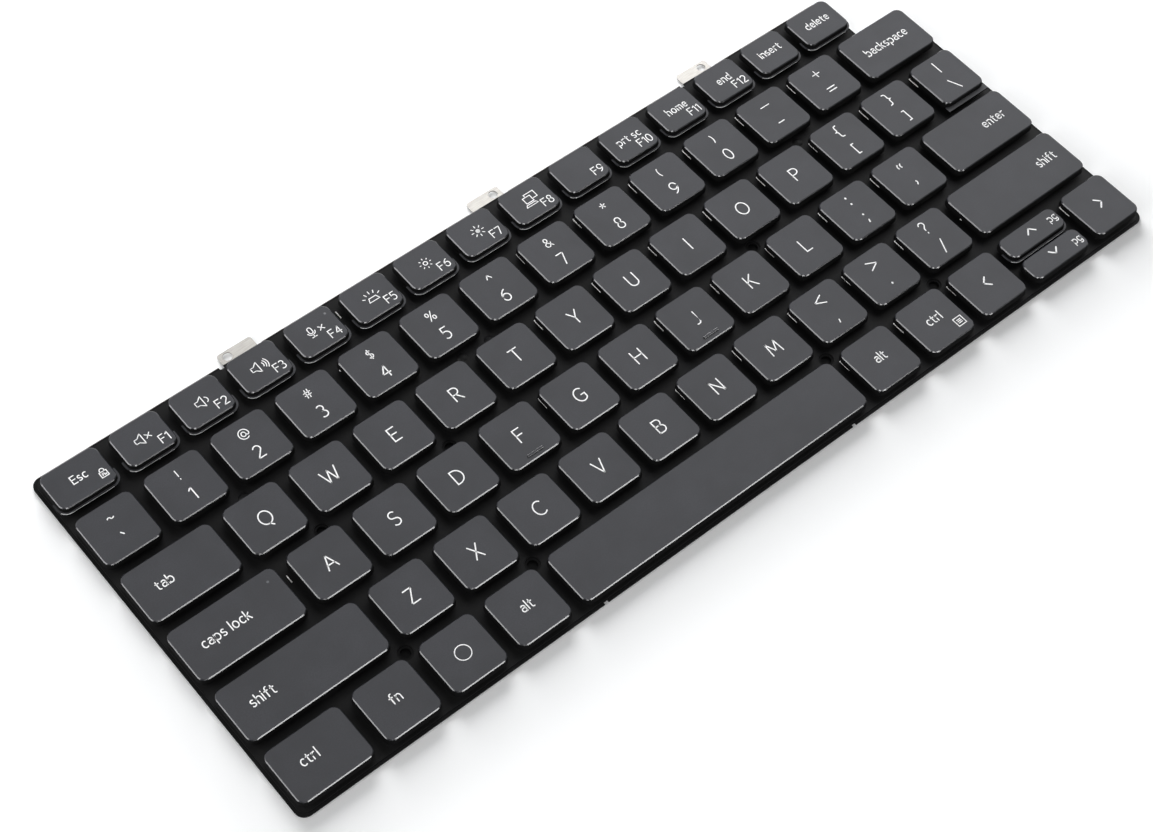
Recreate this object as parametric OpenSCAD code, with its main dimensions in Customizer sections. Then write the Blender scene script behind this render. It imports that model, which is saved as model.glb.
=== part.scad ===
// Laptop keyboard module: 79 scissor keys on a stamped base plate, with a backlight laid under it.
// Origin: centre of the plate's outline on the underside. +X is right, +Y is the back, +Z is up.

/* [Key layout] */
// Distance from one key to the next, across and from row to row
pitch = 18.07; // [17:0.01:19.5]
// Gap between the tops of two neighbouring keycaps
cap_gap = 3.34; // [2.6:0.02:3.8]
// Length of the front five rows, in key pitches
row_units = 14.465; // [14.2:0.005:15]
// Distance from one function key to the next
f_pitch = 16.26; // [15.9:0.02:16.6]
// Width of the escape keycap
esc_w = 15; // [13:0.1:16]
// Width of the delete keycap, the last of the function row
delete_w = 14.3; // [12:0.1:15]
// Depth of the function row keycaps
f_cap_d = 11; // [9.8:0.1:13]
// Gap between the function row and the number row
f_row_gap = 3.65; // [2.8:0.05:5]
// Gap between the up and the down arrow keycaps
half_gap = 1.6; // [1.2:0.1:2]

/* [Keycap] */
// Height of a keycap's top above the membrane
cap_rise = 3.2; // [3:0.05:4]
// How far a key goes down
travel = 1.2; // [0.9:0.05:1.3]
// Thickness of a keycap's top
cap_top_t = 0.8; // [0.6:0.05:0.9]
// Thickness of a keycap's side walls
cap_wall = 0.75; // [0.5:0.05:0.9]
// How far each side wall leans out from top to bottom
cap_draft = 0.25; // [0.05:0.05:0.4]
// Size of the bevel round the top
cap_bevel = 0.22; // [0.1:0.02:0.4]
// Radius of a keycap's corners
cap_r = 2; // [1.5:0.1:2.2]
// Height of the lip on the front of a flanged keycap
lip_h = 0.5; // [0.3:0.05:0.8]
// How far the lip of a function or up arrow keycap stands out
lip_out = 0.45; // [0.2:0.05:0.7]
// How far the lip of the backslash keycap stands out
wide_lip_out = 1.35; // [0.8:0.05:1.6]
// How far the lip runs back along each side
lip_return = 1.6; // [0.5:0.1:2.5]
// Height of the bars that the index fingers feel for
bar_h = 0.25; // [0.1:0.05:0.4]

/* [Base plate] */
// Thickness of the base plate
plate_t = 0.4; // [0.3:0.05:0.6]
// Plate showing to the left of the keycaps
left_margin = 1.3; // [0.8:0.1:3]
// Plate past the keycaps on the right
right_margin = 1.7; // [0.8:0.1:3]
// Plate in front of the bottom row
front_margin = 1.4; // [0.8:0.1:3]
// Plate behind the function row
back_margin = 2.15; // [1.8:0.05:4]
// Radius of the plate's corners
plate_r = 2.6; // [1:0.1:4]
// Plate past the delete key, where the back right corner steps in
step_margin = 1; // [0.5:0.1:2]
// Width of each fixing tab
tab_w = 9.8; // [7:0.1:12]
// How far each fixing tab stands out behind the plate
tab_l = 3; // [2.8:0.1:5]
// Distance from the middle of the plate to the left and to the right tab
tab_x = 72.4; // [60:0.1:90]
// Offset of the middle tab from the middle of the plate
mid_tab_x = 2.7; // [0:0.1:8]
// Offset of a tab's hole from the middle of the tab
tab_hole_x = 2.6; // [1.5:0.1:3]
// Diameter of the hole in each tab
tab_hole_d = 2.4; // [1.6:0.1:2.6]
// Distance from a tab's end to the middle of its hole
tab_hole_inset = 1.65; // [1.4:0.05:1.8]
// Radius of a tab's corners
tab_r = 0.8; // [0.3:0.1:1.2]
// Width of the relief notch at each side of a tab's root
relief_w = 1.3; // [0.6:0.1:2]
// Depth of a relief notch
relief_d = 1; // [0.5:0.1:1.4]
// Distance from the middle to the notch in the front edge on the left
notch_left_x = 47.2; // [30:0.1:70]
// Distance from the middle to the notch in the front edge on the right
notch_right_x = 29.2; // [15:0.1:70]
// Width of a notch in the front edge
notch_w = 1.1; // [0.5:0.1:2]
// Depth of a notch in the front edge
notch_d = 0.6; // [0.3:0.1:1]
// Diameter of the holes between the keys
case_hole_d = 2.6; // [1.6:0.1:3]
// Diameter of the opening in the membrane round such a hole
collar_d = 3.8; // [3.2:0.1:4.4]
// Diameter of the opening in the light guide below such a hole
guide_hole_d = 4.6; // [3.8:0.1:5]
// Height of the domed bumps on the membrane between the keys
bump_h = 0.5; // [0.2:0.05:0.8]

/* [Sheets] */
// Thickness of the membrane with the switch contacts
membrane_t = 0.25; // [0.15:0.05:0.4]
// How far the membrane's edge lies in from the plate's edge
membrane_inset = 0.8; // [0.4:0.05:1]
// Thickness of the light guide
guide_t = 0.3; // [0.2:0.05:0.5]
// Thickness of the reflector, the lowest sheet
reflector_t = 0.1; // [0.05:0.05:0.2]
// How far the light guide and the reflector lie in from the plate's edge
guide_inset = 1; // [0.6:0.1:2]

/* [Scissor links] */
// Diameter of a link's shafts
shaft_d = 0.7; // [0.6:0.05:0.8]
// Play round a shaft in its hook or clip
shaft_fit = 0.1; // [0.08:0.01:0.15]
// Width of the outer link in a full depth key
link_w = 11.6; // [10:0.1:12]
// Width of a link's side bars
bar_w = 0.9; // [0.8:0.05:1]
// Side play between the two links
link_fit = 0.15; // [0.1:0.01:0.3]
// Diameter of the pivot pins between the two links
pivot_d = 0.4; // [0.3:0.05:0.45]
// Thickness of the metal in a hook of the base plate
hook_t = 0.3; // [0.2:0.05:0.4]
// Width of a hook or clip along the shaft
grip_w = 1.4; // [1:0.1:1.6]
// Distance from the middle of a key to its hooks and clips
grip_x = 2.4; // [2.3:0.05:2.6]
// Thickness of a clip's jaws under a keycap
jaw_t = 0.3; // [0.2:0.05:0.35]
// Width of a clip's mouth
mouth_w = 0.5; // [0.4:0.05:0.6]

/* [Rubber domes] */
// Thickness of a dome's wall
dome_wall = 0.25; // [0.15:0.05:0.35]
// Air between a dome and the keycap that it lifts
dome_gap = 0.1; // [0.08:0.01:0.2]

/* [Stabilizer bars] */
// Diameter of the steel wire
wire_d = 0.7; // [0.6:0.05:0.8]
// Keycaps wider than this have a stabilizer bar
wire_from_w = 22; // [20:0.5:24]
// Distance from a wide keycap's end to the leg of its bar
wire_inset = 3; // [2.6:0.1:4]

/* [Hidden] */
$fn = 48;

// Play between a pressed keycap and the membrane
press_fit = 0.15;
// Height of the boss under a keycap
boss_h = 0.3;
// Room for the outer link's lower shaft to slide as the scissor folds
slide_play = 0.25;
// Play round the links in the membrane's slots
slot_play = 0.2;
// Material left between a clip's bore and the keycap's ceiling
bore_roof = 0.1;
// Gap between a hook of a function row key and the keycap's wall beside it
wall_play = 0.05;
// Gap between a keycap's clip and the stabilizer bar beside it
wire_play = 0.1;
// Gap between a pressed keycap's clip and the hook beside it
hook_play = 0.25;
// Play between a domed bump and the skirts of the keycaps beside it
bump_play = 0.1;
// How much narrower a function row key's links are than a full depth key's
f_link_less = 1.4;
// How much further a half depth key's links reach
half_reach_more = 0.9;
// Parts of a dome as shares of its foot's radius: its skirt, its crown, its stem and the boss above it
skirt_share = 0.82;
crown_share = 0.47;
stem_share = 0.18;
boss_share = 0.55;
// Height of a dome's foot, of its crown, and of its stem's end above the membrane
foot_h = 0.2;
crown_h = 0.4;
stem_lift = 0.45;
// Length, width and distance from the keycap's front of the bars for the index fingers
bar_l = 4.6;
bar_d = 0.5;
bar_inset = 1.6;
// How far one solid sinks into another of its own piece so that they join
join = 0.2;

guide_z = reflector_t;
plate_z = guide_z + guide_t;
membrane_z = plate_z + plate_t;
floor_z = membrane_z + membrane_t;
cap_top_z = floor_z + cap_rise;
ceiling_z = cap_top_z - cap_top_t;
skirt_z = floor_z + travel + press_fit;
shaft_r = shaft_d / 2;
low_z = membrane_z + shaft_fit + shaft_r;
high_z = ceiling_z - bore_roof - shaft_fit - shaft_r;
pivot_z = (low_z + high_z) / 2;

// Keycap sizes are kept to a hundredth of a millimetre, so that their sides and corners meet exactly
function neat(size) = round(size * 100) / 100;

cap_d = neat(pitch - cap_gap);
half_cap_d = neat((cap_d - half_gap) / 2);
plate_w = row_units * pitch - cap_gap + left_margin + right_margin;
plate_d = front_margin + 4 * pitch + cap_d + f_row_gap + f_cap_d + back_margin;
keys_left = -plate_w / 2 + left_margin;
front_row_y = -plate_d / 2 + front_margin + cap_d / 2;
number_row_y = front_row_y + 4 * pitch;
f_row_y = number_row_y + cap_d / 2 + f_row_gap + f_cap_d / 2;
f_cap_w = neat(f_pitch - cap_gap);
delete_x = keys_left + esc_w + cap_gap + 13 * f_pitch + delete_w / 2;
step_x = delete_x + delete_w / 2 + step_margin;
step_y = number_row_y + cap_d / 2 + front_margin;

// Kinds of key: full depth, function row and half depth
FULL = 0;
FUNC = 1;
HALF = 2;

// Lips: none, the narrow one and the wide one of the backslash key
NO_LIP = 0;
LIP = 1;
WIDE_LIP = 2;

function sum_to(v, n) = n <= 0 ? 0 : v[n - 1] + sum_to(v, n - 1);
function ones(n) = [for (i = [1:n]) 1];
function is_in(word, list) = len([for (entry = list) if (entry == word) entry]) > 0;

// Widths of a row's keys in pitches: the first ones are given and the last one fills the row
function filled(units) = concat(units, [row_units - sum_to(units, len(units))]);

function lip_of(name) = name == "key_backslash" ? WIDE_LIP : NO_LIP;

// A key is [name, x, y, width, depth, kind, lip]
function row_of(names, units, row) = [
    for (i = [0:len(units) - 1])
        [
            names[i],
            keys_left - cap_gap / 2 + (sum_to(units, i) + units[i] / 2) * pitch,
            front_row_y + row * pitch,
            neat(units[i] * pitch - cap_gap),
            cap_d,
            FULL,
            lip_of(names[i])
        ]
];

number_row = row_of([for (i = [1:14]) "number_row"], filled(ones(13)), 4);
q_row = row_of(
    [
        "key_tab", "key_q", "key_w", "key_e", "key_r", "key_t", "key_y", "key_u", "key_i", "key_o",
        "key_p", "key_left_bracket", "key_right_bracket", "key_backslash"
    ],
    filled(concat([1.5], ones(12))), 3);
a_row = row_of(
    [
        "key_caps_lock", "key_a", "key_s", "key_d", "key_f", "key_g", "key_h", "key_j", "key_k",
        "key_l", "key_semicolon", "key_quote", "key_enter"
    ],
    filled(concat([1.75], ones(11))), 2);
z_row = row_of(
    [
        "key_left_shift", "key_z", "key_x", "key_c", "key_v", "key_b", "key_n", "key_m",
        "key_comma", "key_period", "key_slash", "key_right_shift"
    ],
    filled(concat([2.25], ones(10))), 1);

// Bottom row: the two half depth arrows share one place between the left and the right arrow
bottom_row = row_of(
    [
        "key_left_ctrl", "key_fn", "key_ring", "key_left_alt", "key_space", "key_right_alt",
        "key_right_ctrl", "key_arrow_left", "arrow_pair", "key_arrow_right"
    ],
    [1.264, 1, 1, 1, 5, 1, 1, 1, 1.236, 1], 0);
arrow_pair = bottom_row[8];
half_y = (half_gap + half_cap_d) / 2;

function half_key(name, up, lip) =
    [name, arrow_pair[1], arrow_pair[2] + up * half_y, arrow_pair[3], half_cap_d, HALF, lip];

arrow_keys = [half_key("key_arrow_up", 1, LIP), half_key("key_arrow_down", -1, NO_LIP)];
MOVING_KEYS = concat(
    q_row, a_row, z_row, [for (key = bottom_row) if (key[0] != "arrow_pair") key], arrow_keys);

// Function row: escape, 13 keys of one width, then delete
FUNCTION_KEYS = concat(
    [["function_row", keys_left + esc_w / 2, f_row_y, esc_w, f_cap_d, FUNC, LIP]],
    [
        for (i = [0:12])
            [
                "function_row",
                keys_left + esc_w + cap_gap + i * f_pitch + f_cap_w / 2,
                f_row_y,
                f_cap_w,
                f_cap_d,
                FUNC,
                LIP
            ]
    ],
    [["function_row", delete_x, f_row_y, delete_w, f_cap_d, FUNC, LIP]]);
KEYS = concat(FUNCTION_KEYS, number_row, MOVING_KEYS);

// Long run of a stabilizer bar, beside the keycap's rear wall
wire_r = wire_d / 2;
wire_y = cap_d / 2 - cap_wall - shaft_fit - wire_r;

// From the pivot to the outer link's shafts: the clip clears the bar, and in a function row key the
// hook clears the wall
bore_r = shaft_r + shaft_fit;
full_reach = wire_y - wire_r - wire_play - jaw_t - bore_r;
function_reach = f_cap_d / 2 - cap_wall - wall_play - hook_t - slide_play - bore_r;
half_reach = full_reach + half_reach_more;

// The inner link's shafts lie in by a clip's half, a hook's metal and a hook's bore
reach_step = bore_r + jaw_t + hook_play + hook_t + bore_r;
half_bar_w = 0.5;
half_link_w = half_cap_d - 2 * cap_wall - 2 * shaft_fit;
half_grip_w = 1.2;

// The value for a full depth, a function row or a half depth key
function by_kind(kind, values) = values[kind];
function outer_reach(kind) = by_kind(kind, [full_reach, function_reach, half_reach]);
function inner_reach(kind) = outer_reach(kind) - reach_step;
function links_w(kind) = by_kind(kind, [link_w, link_w - f_link_less, half_link_w]);
function bars_w(kind) = by_kind(kind, [bar_w, bar_w, half_bar_w]);
function inner_w(kind) = links_w(kind) - 2 * bars_w(kind) - 2 * link_fit;
function grips(kind) = kind == HALF ? [0] : [-grip_x, grip_x];
function grips_w(kind) = by_kind(kind, [grip_w, grip_w, half_grip_w]);

// Radius of a dome's foot, which stands inside the inner link and its slot
function dome_foot(kind) =
    min(inner_reach(kind) - shaft_r, inner_w(kind) / 2 - bars_w(kind)) - slot_play;

// Half depth keys have their scissor turned to run along the key
function turn(kind) = kind == HALF ? 90 : 0;

module at_key(key) {
    translate([key[1], key[2], 0]) children();
}

module at_scissor(key) {
    at_key(key) rotate(turn(key[5])) children();
}

// Extrudes a profile drawn in Y and Z along X, centred
module along_x(length) {
    rotate([90, 0, 90]) linear_extrude(height = length, center = true) children();
}

module rounded(size, r) {
    square([size[0] - 2 * r, size[1]], center = true);
    square([size[0], size[1] - 2 * r], center = true);
    for (x = [-1, 1], y = [-1, 1])
        translate([x * (size[0] / 2 - r), y * (size[1] / 2 - r)]) circle(r);
}

// Keycap shell: one wall profile goes round four corners and four sides
module wall_profile() {
    polygon([
        [0, cap_top_z],
        [cap_r - cap_bevel, cap_top_z],
        [cap_r, cap_top_z - cap_bevel],
        [cap_r + cap_draft, skirt_z],
        [cap_r + cap_draft - cap_wall, skirt_z],
        [cap_r - cap_wall, ceiling_z],
        [0, ceiling_z]
    ]);
}

module cap_shell(w, d) {
    straight = [w - 2 * cap_r, d - 2 * cap_r];
    translate([0, 0, ceiling_z + cap_top_t / 2])
        cube([straight[0], straight[1], cap_top_t], center = true);
    for (side = [0:3]) {
        across = straight[side % 2];
        along = straight[(side + 1) % 2];
        rotate(90 * side) {
            translate([across / 2, 0, 0])
                rotate([90, 0, 0]) linear_extrude(height = along, center = true) wall_profile();
            translate([across / 2, along / 2, 0]) rotate_extrude(angle = 90) wall_profile();
        }
    }
}

// Lip round the front of a flanged keycap, with a short return along each side
module lip_profile(out) {
    translate([cap_r - cap_wall / 2, skirt_z])
        square([cap_wall / 2 + cap_draft + out, lip_h]);
}

module front_lip(w, d, out) {
    straight_w = w - 2 * cap_r;
    translate([0, -d / 2 + cap_r, 0]) {
        rotate([0, 0, -90]) rotate([90, 0, 0])
            linear_extrude(height = straight_w, center = true) lip_profile(out);
        for (side = [-1, 1])
            translate([side * straight_w / 2, 0, 0]) {
                rotate(side > 0 ? -90 : 180) rotate_extrude(angle = 90) lip_profile(out);
                translate([0, lip_return / 2, 0])
                    rotate(side > 0 ? 0 : 180) rotate([90, 0, 0])
                        linear_extrude(height = lip_return, center = true) lip_profile(out);
            }
    }
}

module wide_front_lip(w, d) {
    reach = cap_wall / 2 + wide_lip_out;
    translate([0, -d / 2 + cap_wall / 2 - reach / 2, skirt_z + lip_h / 2])
        cube([w, reach, lip_h], center = true);
}

// Clip under a keycap that a link's upper shaft snaps into
module clip(y, width) {
    half_w = bore_r + jaw_t;
    translate([0, y, 0]) along_x(width) difference() {
        translate([-half_w, skirt_z]) square([2 * half_w, ceiling_z + join - skirt_z]);
        translate([0, high_z]) circle(bore_r);
        translate([-mouth_w / 2, skirt_z - join]) square([mouth_w, high_z - skirt_z + join]);
    }
}

module clips(kind) {
    for (x = grips(kind)) translate([x, 0, 0]) {
        clip(outer_reach(kind), grips_w(kind));
        clip(-inner_reach(kind), grips_w(kind));
    }
}

// Boss under a keycap that the dome pushes on
module dome_boss(kind) {
    r = dome_foot(kind) * boss_share;
    translate([0, 0, ceiling_z - boss_h]) cylinder(r = r, h = boss_h + join);
}

module keycap(key) {
    w = key[3];
    d = key[4];
    kind = key[5];
    color("dimgray") at_key(key) {
        cap_shell(w, d);
        if (key[6] == LIP) front_lip(w, d, lip_out);
        if (key[6] == WIDE_LIP) wide_front_lip(w, d);
        if (w > wire_from_w) wire_clips(w);
        if (is_in(key[0], ["key_f", "key_j"])) finger_bar(d);
        rotate(turn(kind)) {
            clips(kind);
            dome_boss(kind);
        }
    }
}

// Bar on the two keys where the index fingers rest
module finger_bar(d) {
    translate([0, -d / 2 + bar_inset, cap_top_z + (bar_h - join) / 2])
        cube([bar_l, bar_d, bar_h + join], center = true);
}

// One link: two side bars between a lower and an upper shaft, tilted about its pivot
module link_frame(reach, w, bar, tilt) {
    length = 2 * sqrt(pow(reach, 2) + pow((high_z - low_z) / 2, 2));
    translate([0, 0, pivot_z]) rotate([tilt * atan((high_z - low_z) / (2 * reach)), 0, 0]) {
        for (y = [-1, 1])
            translate([-w / 2, y * length / 2, 0]) rotate([0, 90, 0]) cylinder(r = shaft_r, h = w);
        difference() {
            for (x = [-1, 1])
                translate([x * (w - bar) / 2, 0, 0]) cube([bar, length, shaft_d], center = true);
            children();
        }
    }
}

module outer_link(kind) {
    w = links_w(kind);
    link_frame(outer_reach(kind), w, bars_w(kind), 1)
        rotate([0, 90, 0]) cylinder(d = pivot_d + 2 * shaft_fit, h = w + 1, center = true);
}

module inner_link(kind) {
    w = inner_w(kind);
    bar = bars_w(kind);
    pin_l = bar + link_fit;
    link_frame(inner_reach(kind), w, bar, -1);
    for (x = [-1, 1])
        translate([x * (w / 2 + (pin_l - join) / 2), 0, pivot_z])
            rotate([0, 90, 0]) cylinder(d = pivot_d, h = pin_l + join, center = true);
}

module scissor_outer_links() {
    color("whitesmoke") for (key = KEYS) at_scissor(key) outer_link(key[5]);
}

module scissor_inner_links() {
    color("white") for (key = KEYS) at_scissor(key) inner_link(key[5]);
}

// Rubber dome with the plunger that presses the membrane's contacts together
module dome(kind) {
    foot = dome_foot(kind);
    skirt = foot * skirt_share;
    crown = foot * crown_share;
    stem = foot * stem_share;
    top = ceiling_z - boss_h - dome_gap;
    shoulder = top - crown_h;
    foot_top = floor_z + foot_h;
    rotate_extrude() polygon([
        [0, floor_z + stem_lift],
        [stem, floor_z + stem_lift],
        [stem, shoulder - dome_wall],
        [crown - dome_wall, shoulder - dome_wall],
        [skirt - dome_wall, floor_z],
        [foot, floor_z],
        [foot, foot_top],
        [skirt, foot_top],
        [crown, shoulder],
        [crown, top],
        [0, top]
    ]);
}

module rubber_domes() {
    color("lightgray") for (key = KEYS) at_key(key) dome(key[5]);
}

// Top of a hook over a shaft of radius r that lies on the base plate
function hook_top(r) = membrane_z + 2 * r + 2 * shaft_fit + hook_t;

// Hook stamped up from the base plate over a shaft of radius r, open on the side that faces the pivot
module hook(y, r, play, width) {
    side = sign(y);
    inner = abs(y) + r + shaft_fit + play;
    top = hook_top(r);
    outline = [
        [0, plate_z + plate_t / 2],
        [hook_t, plate_z + plate_t / 2],
        [hook_t, top],
        [-2 * r - play, top],
        [-2 * r - play, top - hook_t],
        [0, top - hook_t]
    ];
    along_x(width) polygon([for (point = outline) [side * (inner + point[0]), point[1]]]);
}

module hooks(kind) {
    for (x = grips(kind)) translate([x, 0, 0]) {
        hook(inner_reach(kind), shaft_r, 0, grips_w(kind));
        hook(-outer_reach(kind), shaft_r, slide_play, grips_w(kind));
    }
}

// Stabilizer bar: a long run in the keycap's clips at the back, and two legs down to the base plate
wire_high_z = ceiling_z - bore_roof - shaft_fit - wire_r;
wire_low_z = membrane_z + shaft_fit + wire_r;
wire_foot_y = -1.5;
wire_bend = 0.8;
wire_clip_inset = 2.5;
toe_hook_w = 0.8;
wire_toe = wire_bend + toe_hook_w + 0.2;
wire_run_y = wire_y - wire_foot_y;
wire_slope = atan((wire_high_z - wire_low_z) / wire_run_y);
wire_leg = neat(wire_run_y / cos(wire_slope));

function leg_x(w) = neat(w / 2 - wire_inset);

// Middle of the hook over the straight end of a toe
function toe_hook_x(w) = leg_x(w) - wire_bend - toe_hook_w / 2;

module wire_corner() {
    rotate_extrude(angle = 90) translate([wire_bend, 0]) circle(wire_r);
}

// The bar is bent flat and lies tilted about its long run
module stabilizer_bar(w) {
    run = leg_x(w) - wire_bend;
    toe = wire_toe - wire_bend;
    translate([0, wire_y, wire_high_z]) rotate([wire_slope, 0, 0]) {
        rotate([0, 90, 0]) cylinder(r = wire_r, h = 2 * run, center = true);
        for (side = [0, 1]) mirror([side, 0, 0]) translate([run, 0, 0]) {
            translate([0, -wire_bend, 0]) wire_corner();
            translate([wire_bend, -wire_leg / 2, 0]) rotate([90, 0, 0])
                cylinder(r = wire_r, h = wire_leg - 2 * wire_bend, center = true);
            translate([0, wire_bend - wire_leg, 0]) rotate(-90) wire_corner();
            translate([-toe / 2, -wire_leg, 0]) rotate([0, 90, 0])
                cylinder(r = wire_r, h = toe, center = true);
        }
    }
}

module stabilizer_bars() {
    color("silver") for (key = KEYS) if (key[3] > wire_from_w) at_key(key) stabilizer_bar(key[3]);
}

// Clips under a wide keycap that hold the long run of its stabilizer bar, backed by the rear wall
module wire_clips(w) {
    wire_bore_r = wire_r + shaft_fit;
    for (side = [-1, 1])
        translate([side * (leg_x(w) - wire_clip_inset), wire_y, 0]) along_x(grip_w) difference() {
            translate([-wire_bore_r - jaw_t, skirt_z])
                square([2 * wire_bore_r + jaw_t + join, ceiling_z + join - skirt_z]);
            translate([0, wire_high_z]) circle(wire_bore_r);
            translate([-mouth_w / 2, skirt_z - join])
                square([mouth_w, wire_high_z - skirt_z + join]);
        }
}

// Hooks of the base plate over the two toes of a stabilizer bar
module toe_hooks(w) {
    for (side = [-1, 1])
        translate([side * toe_hook_x(w), 0, 0]) hook(wire_foot_y, wire_r, 0, toe_hook_w);
}

// Base plate
module plate_outline(inset) {
    left = -plate_w / 2 + inset;
    front = -plate_d / 2 + inset;
    right = plate_w / 2 - inset;
    back = plate_d / 2 - inset;
    r = plate_r - inset / 2;
    main = [right - left, step_y - inset - front];
    tall = [step_x - inset - left, back - front];
    translate([left + main[0] / 2, front + main[1] / 2]) rounded(main, r);
    translate([left + tall[0] / 2, front + tall[1] / 2]) rounded(tall, r);
}

// Tabs: [middle, offset of the hole from the middle]
TABS = [[-tab_x, -tab_hole_x], [mid_tab_x, tab_hole_x], [tab_x, tab_hole_x]];
tab_hole_y = plate_d / 2 + tab_l - tab_hole_inset;

module tab_outline() {
    translate([0, plate_d / 2 + (tab_l - relief_d) / 2])
        rounded([tab_w, tab_l + relief_d], tab_r);
}

module relief_outline() {
    for (side = [-1, 1])
        translate([side * (tab_w + relief_w) / 2, plate_d / 2 - relief_d / 2 + join / 2])
            square([relief_w, relief_d + join], center = true);
}

module edge_notches() {
    for (x = [-notch_left_x, notch_right_x])
        translate([x, -plate_d / 2 + (notch_d - join) / 2])
            square([notch_w, notch_d + join], center = true);
}

// Places between two rows of keys: [distance in pitches from the left of the keys, rows in front]
COLLARS = [[2.4, 3], [4.42, 3], [9.68, 3], [2.18, 1], [4.16, 1], [9.18, 1], [11.2, 1]];
BUMPS = [[1.92, 4], [5.4, 4], [5.86, 4], [11.44, 4]];

function between(place) = [
    keys_left + place[0] * pitch,
    front_row_y + (place[1] - 0.5) * pitch
];

module at_places(places) {
    for (place = places) translate(between(place)) children();
}

// How far from its lower shaft the underside of a link's side bar lies below the membrane's top
function dip(reach) =
    let (tilt = atan((high_z - low_z) / (2 * reach)))
    neat((floor_z - low_z + shaft_r / cos(tilt)) / tan(tilt));

// Slot in the membrane round one lower shaft, its hooks and the ends of the side bars
module shaft_slot(y, play, w, bar) {
    half = w / 2 + slot_play;
    middle = half - bar - 2 * slot_play;
    far = abs(y) + bore_r + play + hook_t + slot_play;
    near = abs(y) - shaft_r - slot_play - play;
    ends = min(near, abs(y) - dip(abs(y)) - play) - slot_play;
    outline = [
        [half, far], [half, ends], [middle, ends], [middle, near],
        [-middle, near], [-middle, ends], [-half, ends], [-half, far]
    ];
    polygon([for (point = outline) [point[0], sign(y) * point[1]]]);
}

module membrane_slots() {
    for (key = KEYS) translate([key[1], key[2]]) rotate(turn(key[5])) {
        shaft_slot(inner_reach(key[5]), 0, inner_w(key[5]), bars_w(key[5]));
        shaft_slot(-outer_reach(key[5]), slide_play, links_w(key[5]), bars_w(key[5]));
    }
    for (key = KEYS) if (key[3] > wire_from_w) for (side = [-1, 1])
        translate([key[1] + side * (leg_x(key[3]) - wire_toe / 2), key[2] + wire_foot_y])
            square([wire_toe + 2 * wire_d, 3 * wire_d], center = true);
}

// Opening in the plate that a hook was cut and bent from
module hook_opening(y, r, play, width) {
    reach = abs(y) + r + shaft_fit + play;
    length = hook_top(r) - plate_z;
    translate([0, sign(y) * (reach - length / 2)]) square([width, length], center = true);
}

module hook_openings() {
    for (key = KEYS) translate([key[1], key[2]]) {
        rotate(turn(key[5])) for (x = grips(key[5])) translate([x, 0]) {
            hook_opening(inner_reach(key[5]), shaft_r, 0, grips_w(key[5]));
            hook_opening(-outer_reach(key[5]), shaft_r, slide_play, grips_w(key[5]));
        }
        if (key[3] > wire_from_w) for (side = [-1, 1])
            translate([side * toe_hook_x(key[3]), 0])
                hook_opening(wire_foot_y, wire_r, 0, toe_hook_w);
    }
}

module base_plate() {
    color("darkslategray") {
        translate([0, 0, plate_z]) linear_extrude(plate_t) difference() {
            union() {
                difference() {
                    plate_outline(0);
                    edge_notches();
                    for (tab = TABS) translate([tab[0], 0]) relief_outline();
                }
                for (tab = TABS) translate([tab[0], 0]) tab_outline();
            }
            for (tab = TABS) translate([tab[0] + tab[1], tab_hole_y]) circle(d = tab_hole_d);
            at_places(COLLARS) circle(d = case_hole_d);
            hook_openings();
        }
        for (key = KEYS) {
            at_scissor(key) hooks(key[5]);
            if (key[3] > wire_from_w) at_key(key) toe_hooks(key[3]);
        }
    }
}

// Domed bump, as wide as the room between the skirts of two keycaps lets it be
module bump() {
    r = cap_gap / 2 - cap_draft - bump_play;
    sphere_r = (pow(r, 2) + pow(bump_h, 2)) / (2 * bump_h);
    translate([0, 0, floor_z]) rotate_extrude() intersection() {
        translate([0, bump_h - sphere_r]) circle(sphere_r);
        translate([0, -membrane_t / 2]) square([r, bump_h + membrane_t]);
    }
}

module switch_membrane() {
    color("black") {
        translate([0, 0, membrane_z]) linear_extrude(membrane_t) difference() {
            plate_outline(membrane_inset);
            at_places(COLLARS) circle(d = collar_d);
            membrane_slots();
            for (tab = TABS) translate([tab[0], 0]) relief_outline();
        }
        at_places(BUMPS) bump();
    }
}

module light_guide() {
    color("lightcyan") translate([0, 0, guide_z]) linear_extrude(guide_t) difference() {
        plate_outline(guide_inset);
        at_places(COLLARS) circle(d = guide_hole_d);
    }
}

// The reflector closes the holes from below
module reflector_sheet() {
    color("gray") linear_extrude(reflector_t) plate_outline(guide_inset);
}

module function_row_keys() {
    for (key = FUNCTION_KEYS) keycap(key);
}

module number_row_keys() {
    for (key = number_row) keycap(key);
}

FIXED = [
    "reflector_sheet", "light_guide", "base_plate", "switch_membrane", "rubber_domes",
    "scissor_outer_links", "scissor_inner_links", "stabilizer_bars", "function_row_keys",
    "number_row_keys"
];

reflector_sheet();
light_guide();
base_plate();
switch_membrane();
rubber_domes();
scissor_outer_links();
scissor_inner_links();
stabilizer_bars();
function_row_keys();
number_row_keys();
for (key = MOVING_KEYS) keycap(key);
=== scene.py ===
# Laptop keyboard module on a white sweep, seen from the front left
import math

import bmesh
import bpy
from mathutils import Euler, Matrix, Vector


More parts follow.
